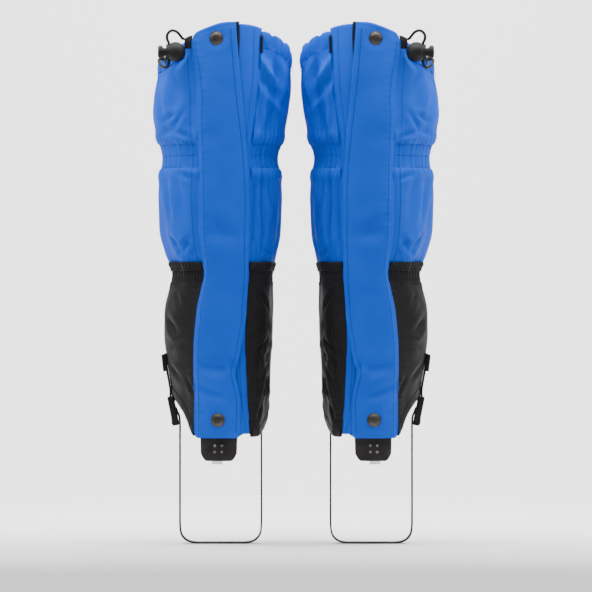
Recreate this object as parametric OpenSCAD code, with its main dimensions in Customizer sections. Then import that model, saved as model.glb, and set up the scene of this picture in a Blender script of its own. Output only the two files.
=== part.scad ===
// A pair of hiking gaiters, standing as worn: mirror images about the plane X = 0.
// Millimetres, +Z up, front towards -Y. The origin lies between the two legs,
// at the level of the underside of the instep straps.
// Every piece is drawn for the right leg, at negative X, and mirrored for the left.

/* [Fabric] */
// Thickness of the fabric panels
panel_t = 1.6; // [1.2:0.1:1.8]
// Thickness of the front flap
flap_t = 2; // [1.5:0.1:2.4]
// Width of the hook and loop tapes
tape_w = 10; // [8:1:11]
// Width of the elastic above the calf
calf_elastic_w = 22; // [16:1:26]
// Width of the elastic above the ankle
ankle_elastic_w = 11; // [8:1:14]

/* [Height] */
// Lowest edge of the front flap
flap_bottom = 113; // [110:1:118]
// Seam between the calf panel and the ankle panel
panel_seam = 296; // [290:1:302]
// Top rim at the back of the leg
rim_back = 508; // [500:1:512]
// How much higher the rim stands at the front
rim_rise = 42; // [30:1:46]

/* [Strap] */
// Width of the instep strap
strap_w = 20; // [15:1:22]
// Thickness of the instep strap
strap_t = 2; // [1.5:0.1:2.2]
// Thickness of the webbing that holds the buckle
webbing_t = 1.6; // [1.2:0.1:2]

/* [Snaps and cord] */
// Diameter of the snap caps
snap_d = 15; // [12:0.5:16]
// Diameter of the drawcord
cord_d = 3; // [2.5:0.1:3.2]
// Radius of the cord lock's barrel
lock_r = 10.5; // [9:0.5:11]
// Travel of the cord lock's button
lock_travel = 3; // [2:0.5:3]

/* [Hidden] */
PIECES = [
    "calf_panel", "ankle_panel", "placket", "flap_seam", "front_flap", "top_hem", "seam_band", "bottom_binding",
    "calf_elastic", "ankle_elastic", "hook_tape", "loop_tape", "snap_caps", "snap_sockets",
    "snap_studs", "snap_posts", "drawcord", "drawcord_loop", "cord_lock_body", "cord_lock_button",
    "cord_lock_spring", "cord_eyelet", "buckle_webbing", "strap_buckle", "strap_tail",
    "instep_strap", "inner_anchor", "lace_hook", "hook_tab", "hook_rivets"
];
SIDES = ["right", "left"];

blue = [0.03, 0.42, 0.86];
charcoal = [0.16, 0.16, 0.17];
black = [0.07, 0.07, 0.08];
gunmetal = [0.22, 0.21, 0.2];
steel = [0.72, 0.72, 0.74];

// Sections of the leg, one row a level: height, half width, half depth, centre x, centre y.
LEVELS = [
    [87, 46, 76.5, -80, -9.5], [113, 48, 75.5, -80, -8], [158, 50, 73, -79, -8],
    [185, 53, 71.5, -81, -8.5], [217, 56.5, 70, -82, -9], [250, 57, 67, -81, -11.3],
    [284, 52, 64, -77, -13.6], [296, 54.5, 65.5, -78, -11.9], [326, 62, 70.5, -80, -6.5],
    [370, 64, 72, -80, -4.6], [408, 60.5, 69, -80.5, -7], [452, 70, 74, -79.5, -1.8],
    [480, 71, 76, -76.5, 0], [550, 68, 75, -73, 0]
];
function column(c) = [for (level = LEVELS) [level[0], level[c]]];
HALF_W = column(1);
HALF_D = column(2);
MID_X = column(3);
MID_Y = column(4);

// Columns of points round a leg, and the tallest step between two rows of them.
ROUND_COLS = 36;
ROW_STEP = 35;

// Layers of fabric, measured out from the middle of the panels.
panel_out = panel_t / 2;
layer_gap = 0.1;
seam_slack = 0.25;
tape_t = 1.2;
flap_rise = 0.35;
flap_lift = 4.15;
seam_allowance = 2;
hem_h = 18;
binding_h = 9;

// Angles round the leg start at the front and grow towards the inner side.
// The flap's sewn edge, its free edge, and the seam between the placket and the panels.
flap_root = function (z) lookup(z, [[113, -32], [158, -29], [225, -25], [296, -22], [430, -22], [545, -29]]);
flap_edge = function (z) lookup(z, [[113, 23], [181, 17], [235, 28], [300, 28], [407, 27], [482, 14], [545, 8]]);
inner_seam = function (z) lookup(z, [[113, 42], [190, 30], [296, 31], [545, 32]]);
outer_seam = function (z) 360 + flap_root(z);
// The flap folds open along a straight line at this X.
fold_x = -96;
fold_line = function (z) asin((fold_x - lookup(z, MID_X)) / (lookup(z, HALF_W) + flap_lift + flap_t / 2));
// The lower edge of the ankle panel and the upper rim, by angle.
panel_hem = function (a) lookup(a, [
    [40, 115], [55, 115], [78, 126], [95, 143], [120, 138], [150, 115], [180, 104],
    [210, 115], [240, 145], [265, 158], [285, 156], [309, 141], [320, 124], [328, 113]
]);
rim = function (a) rim_back + rim_rise * pow((1 + cos(a - 12)) / 2, 3);
function level(z) = function (a) z;
function stand_off(off) = function (a, z) off;
function shifted(edge, turn) = function (z) edge(z) + turn;
function blend(a, b, t) = a + (b - a) * t;
function smooth(t) = t <= 0 ? 0 : t >= 1 ? 1 : t * t * (3 - 2 * t);
// The flap's two faces rise from the seam to clear the tapes and the snaps.
flap_in = function (a, z)
    let (low = panel_out + flap_rise)
    blend(low, flap_lift, smooth((a - flap_root(z) + seam_allowance) / 9));
flap_out = function (a, z) flap_in(a, z) + flap_t;
// Angle and height of each snap.
SNAPS = [[-7, 531], [-2, 132]];

// A point on the leg at angle a and height z, standing off the middle of the fabric.
function on_leg(a, z, off) = [
    lookup(z, MID_X) + (lookup(z, HALF_W) + off) * sin(a),
    lookup(z, MID_Y) - (lookup(z, HALF_D) + off) * cos(a),
    z
];

// A closed solid between two grids of points with the same rows and columns.
module skin(outer, inner) {
    rows = len(outer);
    cols = len(outer[0]);
    count = rows * cols;
    function at(r, c) = r * cols + c;
    function quad(a, b, c, d) = [[a, b, c], [a, c, d]];
    faces = concat(
        [for (r = [0:rows - 2]) for (c = [0:cols - 2])
            each quad(at(r, c), at(r + 1, c), at(r + 1, c + 1), at(r, c + 1))],
        [for (r = [0:rows - 2]) for (c = [0:cols - 2])
            each quad(count + at(r, c), count + at(r, c + 1), count + at(r + 1, c + 1), count + at(r + 1, c))],
        [for (c = [0:cols - 2])
            each quad(at(0, c), at(0, c + 1), count + at(0, c + 1), count + at(0, c))],
        [for (c = [0:cols - 2])
            each quad(at(rows - 1, c + 1), at(rows - 1, c), count + at(rows - 1, c), count + at(rows - 1, c + 1))],
        [for (r = [0:rows - 2])
            each quad(at(r + 1, 0), at(r, 0), count + at(r, 0), count + at(r + 1, 0))],
        [for (r = [0:rows - 2])
            each quad(at(r, cols - 1), at(r + 1, cols - 1), count + at(r + 1, cols - 1), count + at(r, cols - 1))]
    );
    polyhedron(points = concat([for (row = outer) each row], [for (row = inner) each row]), faces = faces);
}

// A tube of radius r along a route, one ring a point, each ring square to the route.
module tube(route, r, sides = 8) {
    last = len(route) - 1;
    function unit(v) = v / norm(v);
    function heading(i) = unit(route[min(i + 1, last)] - route[max(i - 1, 0)]);
    function carry(i, side) = i > last ? [] :
        let (square_side = unit(side - (side * heading(i)) * heading(i)))
        concat([square_side], carry(i + 1, square_side));
    sideways = carry(0, [0.13, 0.21, 0.97]);
    function ring(i) = let (u = sideways[i], v = cross(heading(i), u))
        [for (k = [0:sides - 1]) route[i] + r * (u * cos(k * 360 / sides) + v * sin(k * 360 / sides))];
    faces = concat(
        [for (i = [0:last - 1]) for (k = [0:sides - 1]) let (m = (k + 1) % sides) each [
            [i * sides + k, (i + 1) * sides + k, (i + 1) * sides + m],
            [i * sides + k, (i + 1) * sides + m, i * sides + m]]],
        [[for (k = [0:sides - 1]) k]],
        [[for (k = [0:sides - 1]) last * sides + sides - 1 - k]]
    );
    polyhedron(points = [for (i = [0:last]) each ring(i)], faces = faces);
}

// Stands its children on the leg's surface, with their +Z pointing straight out of it.
module stand_on(a, z, off) {
    reach = 5;
    lean = atan2(on_leg(a, z + reach, off)[1] - on_leg(a, z - reach, off)[1], 2 * reach);
    translate(on_leg(a, z, off)) rotate([0, 0, a]) rotate([90 - lean, 0, 0]) children();
}

// A flat ribbon that follows points in the XZ plane, width w along Y about the middle y.
module ribbon(points, t, w, y) {
    last = len(points) - 1;
    function unit(v) = v / norm(v);
    function across(i) = let (run = unit(points[i + 1] - points[i])) [-run[1], run[0]];
    function mitre(i) =
        let (before = across(max(i - 1, 0)), after = across(min(i, last - 1)))
        let (middle = unit(before + after))
        middle / (middle * before);
    edge = [for (i = [0:last]) mitre(i) * t / 2];
    translate([0, y + w / 2, 0]) rotate([90, 0, 0]) linear_extrude(w)
        polygon(concat([for (i = [0:last]) points[i] + edge[i]], [for (i = [last:-1:0]) points[i] - edge[i]]));
}

// A sewn sheet between two seams and two edges, each a function, standing off the leg between two layers.
// Its rows lie at the leg's own levels wherever all its columns reach them.
module sewn(a0, a1, cols, low, high, inside, outside) {
    bottom = min(low(a0(0)), low(a1(0)));
    top = max(high(a0(600)), high(a1(600)));
    starts = [for (c = [0:cols]) low(blend(a0(bottom), a1(bottom), c / cols))];
    ends = [for (c = [0:cols]) high(blend(a0(top), a1(top), c / cols))];
    shared = [for (level = LEVELS) if (level[0] > max(starts) + 1 && level[0] < min(ends) - 1) level[0]];
    first = len(shared) == 0 ? max(ends) : shared[0];
    last = len(shared) == 0 ? max(ends) : shared[len(shared) - 1];
    steps_low = ceil((first - min(starts)) / ROW_STEP);
    steps_high = ceil((max(ends) - last) / ROW_STEP);
    function heights(c) = len(shared) == 0 ? [starts[c], ends[c]] : concat(
        [for (r = [0:steps_low - 1]) blend(starts[c], first, r / steps_low)],
        shared,
        [for (r = [1:steps_high]) blend(last, ends[c], r / steps_high)]
    );
    columns = [for (c = [0:cols]) heights(c)];
    function grid(off) = [
        for (r = [0:len(columns[0]) - 1]) [
            for (c = [0:cols])
                let (z = columns[c][r], a = blend(a0(z), a1(z), c / cols))
                on_leg(a, z, off(a, z))
        ]
    ];
    skin(grid(outside), grid(inside));
}

// A strip folded round an edge; each layer lists height from the edge and stand-off.
module folded(a0, a1, edge, outside, inside) {
    function layer(profile) = [
        for (step = profile) [
            for (c = [0:ROUND_COLS]) let (a = blend(a0, a1, c / ROUND_COLS))
                on_leg(a, edge(a) + step[0], step[1])
        ]
    ];
    skin(layer(outside), layer(inside));
}

module calf_panel() {
    color(blue)
        sewn(shifted(inner_seam, seam_slack), outer_seam, ROUND_COLS, level(panel_seam + seam_slack),
            function (a) rim(a) - 14, stand_off(-panel_out), stand_off(panel_out));
}

module ankle_panel() {
    color(charcoal)
        sewn(shifted(inner_seam, seam_slack), outer_seam, ROUND_COLS, panel_hem,
            level(panel_seam - seam_slack), stand_off(-panel_out), stand_off(panel_out));
}

module placket() {
    color(blue)
        sewn(shifted(flap_root, 1), shifted(inner_seam, -seam_slack), 8, level(117), rim,
            stand_off(-panel_out), stand_off(panel_out));
}

// The flap's sewn edge stays on the panels, and the rest of the flap folds open beside it.
module flap_seam() {
    color(blue)
        sewn(shifted(flap_root, -seam_allowance), shifted(fold_line, -0.1), 3, level(flap_bottom), rim,
            flap_in, flap_out);
}
module front_flap() {
    color(blue)
        sewn(shifted(fold_line, 0.5), flap_edge, 10, level(flap_bottom), rim, flap_in, flap_out);
}

module top_hem() {
    color(blue)
        folded(32.5, 319.5, rim,
            [[-hem_h, 1.9], [-13, 2.9], [-2, 2.9], [0, 1.5], [0, -1.5], [-2, -2.9], [-13, -2.9], [-hem_h, -1.9]],
            [[-hem_h, 0.95], [-13, 1.9], [-3, 1.9], [-1.2, 0.9], [-1.2, -0.9], [-3, -1.9], [-13, -1.9],
                [-hem_h, -0.95]]);
}

module seam_band() {
    color(black)
        sewn(shifted(inner_seam, seam_slack), outer_seam, ROUND_COLS, level(288), level(panel_seam),
            stand_off(panel_out + 0.15), stand_off(panel_out + 1.1));
}

module bottom_binding() {
    color(black)
        folded(42.5, 327.5, panel_hem,
            [[binding_h, -1.8], [-0.4, -1.8], [-1.2, -0.8], [-1.2, 0.8], [-0.4, 1.8], [binding_h, 1.8]],
            [[binding_h, -0.95], [-0.2, -0.95], [-0.3, -0.4], [-0.3, 0.4], [-0.2, 0.95], [binding_h, 0.95]]);
}

// A band of elastic inside the panels, w wide about the height z.
module elastic(z, w) {
    color(black)
        sewn(shifted(inner_seam, 2), shifted(outer_seam, -2), ROUND_COLS, level(z - w / 2),
            level(z + w / 2), stand_off(-panel_out - 1.6), stand_off(-panel_out - 0.4));
}
module calf_elastic() { elastic(408, calf_elastic_w); }
module ankle_elastic() { elastic(282, ankle_elastic_w); }

// A strip of tape beside the flap's free edge, between two layers.
module tape(inside) {
    edge = shifted(flap_edge, -1.5);
    width = tape_w / 68 * 180 / PI;
    color(black)
        sewn(shifted(edge, -width), edge, 3, level(121), function (a) rim(a) - 2,
            stand_off(inside), stand_off(inside + tape_t));
}
module hook_tape() { tape(panel_out + layer_gap); }
module loop_tape() { tape(flap_lift - layer_gap - tape_t); }

module snap_caps() {
    dome_r = snap_d / 2 - 0.9;
    dome_h = 1.4;
    ball_r = (dome_r * dome_r + dome_h * dome_h) / (2 * dome_h);
    color(gunmetal) for (snap = SNAPS) stand_on(snap[0], snap[1], flap_lift + flap_t + 0.05) {
        cylinder(d = snap_d, h = 1, $fn = 48);
        intersection() {
            translate([0, 0, 1 + dome_h - ball_r]) sphere(r = ball_r, $fn = 64);
            cylinder(r = dome_r, h = 4, $fn = 48);
        }
    }
}

module snap_sockets() {
    color(gunmetal) for (snap = SNAPS) stand_on(snap[0], snap[1], 2.1) difference() {
        cylinder(r = 6, h = 1.4, $fn = 48);
        translate([0, 0, -1]) cylinder(r = 3.6, h = 4, $fn = 48);
    }
}

module snap_studs() {
    color(gunmetal) for (snap = SNAPS) stand_on(snap[0], snap[1], panel_out + layer_gap) {
        cylinder(r = 6, h = 0.6, $fn = 48);
        cylinder(r = 2.6, h = 2.2, $fn = 48);
    }
}

module snap_posts() {
    color(gunmetal) for (snap = SNAPS) stand_on(snap[0], snap[1], -panel_out - 1.4)
        cylinder(r = 6, h = 0.9, $fn = 48);
}

// The drawcord lies in the top hem from the inner seam round the back to the grommet.
cord_drop = 8;
cord_r = cord_d / 2;
GROMMET = [-62, 511];
module drawcord() {
    rings = 44;
    color(black)
        tube([for (i = [0:rings]) let (a = blend(34, 360 + GROMMET[0], i / rings)) on_leg(a, rim(a) - cord_drop, 0)],
            cord_r);
}

// The free loop: out of the grommet, up through the cord lock, and over to the end tab.
LOOP_ROUTE = [
    [-139.1, -36.9, 511], [-142, -38.5, 511], [-144, -42, 510], [-144, -47, 507.5], [-142, -54.5, 504],
    [-139, -61.5, 501.5], [-136, -67, 501], [-133.6, -70.2, 503.5], [-132.7, -71, 507.5], [-132.7, -71, 512],
    [-132.7, -71, 522], [-133.2, -71, 526.5], [-135, -71, 531], [-134.3, -71, 536], [-130, -71.3, 539.3],
    [-124.8, -71.3, 538], [-121, -69.5, 534], [-119.2, -66.7, 531.5], [-117.6, -64.2, 531]
];
// A smooth curve through every point of a route, steps points to a stretch.
function smooth_route(route, steps) = [
    for (i = [0:len(route) - 2]) for (k = [0:steps - (i < len(route) - 2 ? 1 : 0)])
        let (t = k / steps, p0 = route[max(i - 1, 0)], p1 = route[i], p2 = route[i + 1])
        let (p3 = route[min(i + 2, len(route) - 1)])
        0.5 * (2 * p1 + (p2 - p0) * t + (2 * p0 - 5 * p1 + 4 * p2 - p3) * t * t
            + (3 * p1 - p0 - 3 * p2 + p3) * t * t * t)
];
module drawcord_loop() { color(black) tube(smooth_route(LOOP_ROUTE, 3), cord_r); }

// The grommet that the cord comes out of, and the tab that holds its end.
module cord_eyelet() {
    tab_w = 7;
    tab_low = 521;
    tab_high = 536;
    tab_a = -36.5;
    color(black) {
        stand_on(GROMMET[0], GROMMET[1], 3.05) difference() {
            cylinder(r = 3.2, h = 1.2, $fn = 32);
            translate([0, 0, -1]) cylinder(r = cord_r + 0.3, h = 4, $fn = 32);
        }
        translate(on_leg(tab_a, tab_low, 1.1)) rotate([0, 0, tab_a])
            translate([-tab_w / 2, -3.5, 0]) cube([tab_w, 3.5, tab_high - tab_low]);
    }
}

// The cord lock lies along X. The cord runs up through its collar.
LOCK = [-126, -71, 517];
hole_x = -6.7;
collar_x = -10;
bore_end = 8;
stem_r = 4.4;
stem_end = 2;
pocket_r = 3.8;
module along_x(x) { translate(LOCK) translate([x, 0, 0]) rotate([0, 90, 0]) children(); }
module cord_lock_body() {
    color(black) difference() {
        union() {
            translate(LOCK) sphere(r = lock_r, $fn = 64);
            along_x(collar_x) cylinder(r = 8, h = 8, $fn = 48);
        }
        along_x(collar_x - 1) cylinder(r = stem_r + 0.3, h = bore_end - collar_x + 1, $fn = 48);
        translate(LOCK) translate([hole_x, 0, -20]) cylinder(r = cord_r + 0.7, h = 40, $fn = 32);
    }
}
module cord_lock_button() {
    slot_r = cord_r + 0.7;
    knob_h = 5.3;
    knob_x = collar_x - lock_travel - 0.2 - knob_h;
    color(black) difference() {
        union() {
            along_x(knob_x) cylinder(r = 5.8, h = knob_h, $fn = 48);
            along_x(knob_x + 1) cylinder(r = 6.8, h = knob_h - 2, $fn = 48);
            along_x(knob_x + 1) cylinder(r = stem_r, h = stem_end - knob_x - 1, $fn = 48);
        }
        for (shift = [0, -lock_travel])
            translate(LOCK) translate([hole_x + shift, 0, -20]) cylinder(r = slot_r, h = 40, $fn = 32);
        translate(LOCK) translate([hole_x - lock_travel, -slot_r, -20]) cube([lock_travel, 2 * slot_r, 40]);
        along_x(stem_end - 5.5) cylinder(r = pocket_r, h = 6, $fn = 48);
    }
}
module cord_lock_spring() {
    turns = 3;
    per_turn = 10;
    wire_r = 0.4;
    coil_r = 2.9;
    reach = 3.6;
    color(steel)
        tube([for (i = [0:turns * per_turn]) let (turn = i * 360 / per_turn)
            LOCK + [bore_end - wire_r - 0.1 - reach * i / (turns * per_turn),
                coil_r * cos(turn), coil_r * sin(turn)]], wire_r, 6);
}

// Height and place of the instep strap's pivots.
strap_y = -12;
pivot_z = 124;
strap_out = -123.6;
strap_in = -35.5;
strap_bend = 16;
module buckle_webbing() {
    color(black) {
        ribbon([[-138.8, 200], [-136.8, 184], [-133.4, 165], [-133.7, 158], [-134.2, 152], [-133, 149],
            [-130.2, 149], [-129.3, 152], [-130.6, 154.4]], webbing_t, strap_w, strap_y);
        ribbon([[-141, 199], [-139, 183.5]], 2.4, strap_w, strap_y);
    }
}
module strap_buckle() {
    length = 25;
    rail_w = 2.4;
    inside = strap_w / 2 + 0.6;
    color(black) translate([-126.6, strap_y, 127]) rotate([0, -11.3, 0]) {
        for (side = [-1, 1])
            translate([-1.6, side * (inside + rail_w / 2) - rail_w / 2, 0]) cube([3.2, rail_w, length + 2]);
        for (bar = [[length, 1.2], [13, 1.3], [3, 1.5]])
            translate([0, -inside - 1, bar[0]]) rotate([-90, 0, 0]) cylinder(r = bar[1], h = 2 * inside + 2, $fn = 32);
    }
}
module strap_tail() {
    color(black)
        ribbon([[-123.7, 135.4], [-125, 138.5], [-127.2, 143.6], [-130.6, 144], [-132.2, 141], [-131.2, 136],
            [-130.4, 131], [-130.2, 126]], webbing_t, strap_w, strap_y);
}
module rounded_block(x0, x1, z0, r) {
    translate([x0, z0 + r]) square([x1 - x0, 200]);
    translate([x0 + r, z0]) square([x1 - x0 - 2 * r, r + 1]);
    for (x = [x0 + r, x1 - r]) translate([x, z0 + r]) circle(r = r, $fn = 96);
}
module instep_strap() {
    color(black) {
        translate([0, strap_y + strap_w / 2, 0]) rotate([90, 0, 0]) linear_extrude(strap_w) difference() {
            rounded_block(strap_out, strap_in, 0, strap_bend);
            rounded_block(strap_out + strap_t, strap_in - strap_t, strap_t, strap_bend - strap_t);
            translate([-200, pivot_z]) square([400, 400]);
        }
        for (x = [strap_out, strap_in - strap_t])
            translate([x, strap_y, pivot_z]) rotate([0, 90, 0]) cylinder(d = strap_w, h = strap_t, $fn = 64);
    }
}
module inner_anchor() {
    color(black)
        ribbon([[-36.5, 135.6], [-34.8, 146], [-32.8, 158], [-31.4, 166], [-31, 177]], webbing_t, strap_w, strap_y);
}

// The lace hook hangs on a tab behind the placket.
tab_mid = -82.5;
module hook_tab() {
    drop = function (a) 89 + 8 * pow(max(0, abs(a + 1) - 16) / 9, 2);
    color(black)
        sewn(level(-26), level(24), 10, drop, level(126), stand_off(-3.2), stand_off(-1.4));
}
module hook_rivets() {
    spread = 4.5;
    color(steel) for (a = [-1.5 - spread, -1.5 + spread]) for (z = [98.5, 105])
        stand_on(a, z, -1.1) cylinder(r = 1.5, h = 0.9, $fn = 24);
}
module lace_hook() {
    hook_w = 11.5;
    color(steel) rotate([0, 0, 90])
        ribbon([[-78.4, 110], [-79.4, 100], [-80.3, 90], [-79.9, 87.6], [-78.1, 86.2], [-75.5, 86.4],
            [-73.7, 88.6], [-73.3, 95]], 1.4, hook_w, -tab_mid);
}

module other_leg() { mirror([1, 0, 0]) children(); }

calf_panel();  // right_calf_panel
ankle_panel();  // right_ankle_panel
placket();  // right_placket
flap_seam();  // right_flap_seam
front_flap();  // right_front_flap
top_hem();  // right_top_hem
seam_band();  // right_seam_band
bottom_binding();  // right_bottom_binding
calf_elastic();  // right_calf_elastic
ankle_elastic();  // right_ankle_elastic
hook_tape();  // right_hook_tape
loop_tape();  // right_loop_tape
snap_caps();  // right_snap_caps
snap_sockets();  // right_snap_sockets
snap_studs();  // right_snap_studs
snap_posts();  // right_snap_posts
drawcord();  // right_drawcord
drawcord_loop();  // right_drawcord_loop
cord_lock_body();  // right_cord_lock_body
cord_lock_button();  // right_cord_lock_button
cord_lock_spring();  // right_cord_lock_spring
cord_eyelet();  // right_cord_eyelet
buckle_webbing();  // right_buckle_webbing
strap_buckle();  // right_strap_buckle
strap_tail();  // right_strap_tail
instep_strap();  // right_instep_strap
inner_anchor();  // right_inner_anchor
lace_hook();  // right_lace_hook
hook_tab();  // right_hook_tab
hook_rivets();  // right_hook_rivets
other_leg() calf_panel();  // left_calf_panel
other_leg() ankle_panel();  // left_ankle_panel
other_leg() placket();  // left_placket
other_leg() flap_seam();  // left_flap_seam
other_leg() front_flap();  // left_front_flap
other_leg() top_hem();  // left_top_hem
other_leg() seam_band();  // left_seam_band
other_leg() bottom_binding();  // left_bottom_binding
other_leg() calf_elastic();  // left_calf_elastic
other_leg() ankle_elastic();  // left_ankle_elastic
other_leg() hook_tape();  // left_hook_tape
other_leg() loop_tape();  // left_loop_tape
other_leg() snap_caps();  // left_snap_caps
other_leg() snap_sockets();  // left_snap_sockets
other_leg() snap_studs();  // left_snap_studs
other_leg() snap_posts();  // left_snap_posts
other_leg() drawcord();  // left_drawcord
other_leg() drawcord_loop();  // left_drawcord_loop
other_leg() cord_lock_body();  // left_cord_lock_body
other_leg() cord_lock_button();  // left_cord_lock_button
other_leg() cord_lock_spring();  // left_cord_lock_spring
other_leg() cord_eyelet();  // left_cord_eyelet
other_leg() buckle_webbing();  // left_buckle_webbing
other_leg() strap_buckle();  // left_strap_buckle
other_leg() strap_tail();  // left_strap_tail
other_leg() instep_strap();  // left_instep_strap
other_leg() inner_anchor();  // left_inner_anchor
other_leg() lace_hook();  // left_lace_hook
other_leg() hook_tab();  // left_hook_tab
other_leg() hook_rivets();  // left_hook_rivets
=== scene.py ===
# The looks of a pair of hiking gaiters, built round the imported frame.
# Metres, +Z up, front towards -Y. Shapes are worked out in millimetres for the right leg,
# at negative X, and mirrored for the left one.
import math

import bpy
import numpy as np
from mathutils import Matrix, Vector


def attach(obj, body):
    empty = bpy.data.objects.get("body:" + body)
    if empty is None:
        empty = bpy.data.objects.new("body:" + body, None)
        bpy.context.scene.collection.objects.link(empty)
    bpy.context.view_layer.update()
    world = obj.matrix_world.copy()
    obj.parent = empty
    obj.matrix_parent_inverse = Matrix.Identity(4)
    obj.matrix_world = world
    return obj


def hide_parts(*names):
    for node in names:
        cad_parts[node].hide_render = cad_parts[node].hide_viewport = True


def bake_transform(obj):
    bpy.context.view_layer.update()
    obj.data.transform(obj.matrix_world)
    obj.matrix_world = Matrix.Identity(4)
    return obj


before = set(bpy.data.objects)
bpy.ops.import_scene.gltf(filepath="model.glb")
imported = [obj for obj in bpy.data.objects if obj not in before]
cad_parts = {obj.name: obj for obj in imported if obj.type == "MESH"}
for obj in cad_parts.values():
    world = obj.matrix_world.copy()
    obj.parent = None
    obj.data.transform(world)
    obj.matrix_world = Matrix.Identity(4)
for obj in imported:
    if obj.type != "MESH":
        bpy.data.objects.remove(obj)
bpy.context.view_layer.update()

MM = 0.001
SIDES = {"right": 1, "left": -1}


# ---------------------------------------------------------------- camera and cords
def add_camera():
    """Level view from the front, far enough back to keep the two legs' sides in view as the front is."""
    distance, width, height = 6.0, 0.627, 0.2615
    camera = bpy.data.objects.new("camera", bpy.data.cameras.new("camera"))
    camera.location = (0, -distance, height)
    camera.rotation_euler = (math.pi / 2, 0, 0)
    camera.data.sensor_width = 36
    camera.data.lens = 36 * distance / width
    camera.data.clip_end = 50
    bpy.context.scene.collection.objects.link(camera)
    bpy.context.scene.camera = camera


add_camera()

# The drawcord's free loop: out of the grommet, up through the cord lock, over to the end tab.
LOOP_ROUTE = np.array([
    [-139.1, -36.9, 511], [-142, -38.5, 511], [-144, -42, 510], [-144, -47, 507.5], [-142, -54.5, 504],
    [-139, -61.5, 501.5], [-136, -67, 501], [-133.6, -70.2, 503.5], [-132.7, -71, 507.5], [-132.7, -71, 512],
    [-132.7, -71, 522], [-133.2, -71, 526.5], [-135, -71, 531], [-134.3, -71, 536], [-130, -71.3, 539.3],
    [-124.8, -71.3, 538], [-121, -69.5, 534], [-119.2, -66.7, 531.5], [-117.6, -64.2, 531],
], float)
CORD_D = 3.0


def smooth_route(route, steps):
    """A smooth curve through every point of a route, steps points to a stretch."""
    padded = np.vstack([route[:1], route, route[-1:]])
    out = []
    for i in range(1, len(padded) - 2):
        p0, p1, p2, p3 = padded[i - 1 : i + 3]
        for t in np.arange(steps) / steps:
            out.append(0.5 * (2 * p1 + (p2 - p0) * t + (2 * p0 - 5 * p1 + 4 * p2 - p3) * t**2
                              + (3 * p1 - p0 - 3 * p2 + p3) * t**3))
    out.append(route[-1])
    return np.array(out)


def distances(path):
    """The distance along a path to each of its points."""
    return np.concatenate([[0], np.cumsum(np.linalg.norm(np.diff(path, axis=0), axis=1))])


def unit(vectors):
    return vectors / np.linalg.norm(vectors, axis=1)[:, None]


def along_path(values, run, distance):
    """Values given at each point of a path, worked out at any distance along it."""
    return np.stack([np.interp(distance, run, values[:, k]) for k in range(3)], -1)


# ---------------------------------------------------------------- the leg's surface
# Height, half width, half depth, centre x, centre y: the part's own sections.
LEVELS = np.array([
    [87, 46, 76.5, -80, -9.5], [113, 48, 75.5, -80, -8], [158, 50, 73, -79, -8],
    [185, 53, 71.5, -81, -8.5], [217, 56.5, 70, -82, -9], [250, 57, 67, -81, -11.3],
    [284, 52, 64, -77, -13.6], [296, 54.5, 65.5, -78, -11.9], [326, 62, 70.5, -80, -6.5],
    [370, 64, 72, -80, -4.6], [408, 60.5, 69, -80.5, -7], [452, 70, 74, -79.5, -1.8],
    [480, 71, 76, -76.5, 0], [550, 68, 75, -73, 0],
], float)


def rounded(z, heights, values, reach=7.0):
    """A line through the given values with its corners rounded over the reach."""
    return sum(np.interp(z + d, heights, values) for d in np.linspace(-reach, reach, 7)) / 7


def leg(a, z, off):
    """Points on the leg at angle a in degrees and height z, standing off the middle of the fabric."""
    half_w, half_d, mid_x, mid_y = (rounded(z, LEVELS[:, 0], LEVELS[:, c]) for c in (1, 2, 3, 4))
    t = np.radians(a)
    return np.stack([mid_x + (half_w + off) * np.sin(t), mid_y - (half_d + off) * np.cos(t), z + 0 * off], -1)


def line(*points):
    """A function of height or angle that runs through these points, with rounded corners."""
    heights, values = zip(*points)
    return lambda z: rounded(z, heights, values)


# The seams as angles by height, and the ankle panel's lower edge as a height by angle.
flap_root = line((113, -29.3), (158, -29), (225, -22.8), (259, -20.5), (299, -18.6), (351, -18.3),
                 (414, -19.3), (467, -19.7), (495, -23.8), (525, -29.6), (545, -31.8))
flap_edge = line((113, 23), (150, 23), (181, 16), (200, 22), (235, 28), (300, 28), (407, 27),
                 (482, 14), (545, 8))
inner_seam = line((113, 42), (129, 37.5), (151, 32), (190, 30), (296, 31), (545, 32))
panel_hem = line((40, 115), (55, 115), (78, 126), (95, 143), (120, 138), (150, 115), (180, 104),
                 (210, 115), (240, 145), (265, 158), (285, 156), (309, 141), (320, 124), (328, 113))
RIM_BACK, RIM_RISE, RIM_HIGHEST = 508.0, 42.0, 12  # height behind, rise in front, angle of the highest point
RIM_NICKS = (35, 47.5, 65, 83, 112, 148, 190, 226, 262, 290)  # angles at which the cord puckers the rim
PANEL_SEAM, FLAP_BOTTOM, TOP_LEVEL = 296.0, 113.0, 545.0
SNAPS = [(-7, 531), (-2, 132)]  # angle and height of each snap
DEGREE = 1.15  # millimetres of cloth in one degree round the leg


def rim(a):
    return RIM_BACK + RIM_RISE * ((1 + np.cos(np.radians(a - RIM_HIGHEST))) / 2) ** 3


def smooth(t):
    t = np.clip(t, 0, 1)
    return t * t * (3 - 2 * t)


def bump(x, width):
    return np.exp(-(x / width) ** 2)


def waves(a, z, seed, size, count=14, stretch=2.2):
    """Soft uneven folds, mostly upright: a sum of waves drawn from a seeded generator, from -1 to 1."""
    rng = np.random.default_rng(seed)
    total = np.zeros(np.broadcast(a, z).shape)
    for _ in range(count):
        length = size * rng.uniform(0.7, 2.2)
        tilt = rng.uniform(-0.6, 0.6) / stretch
        total = total + np.sin(2 * np.pi * (a * DEGREE + z * tilt) / length
                               + z / (size * stretch) * rng.uniform(-1, 1) + rng.uniform(0, 2 * np.pi))
    return total / math.sqrt(count * 2)


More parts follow.
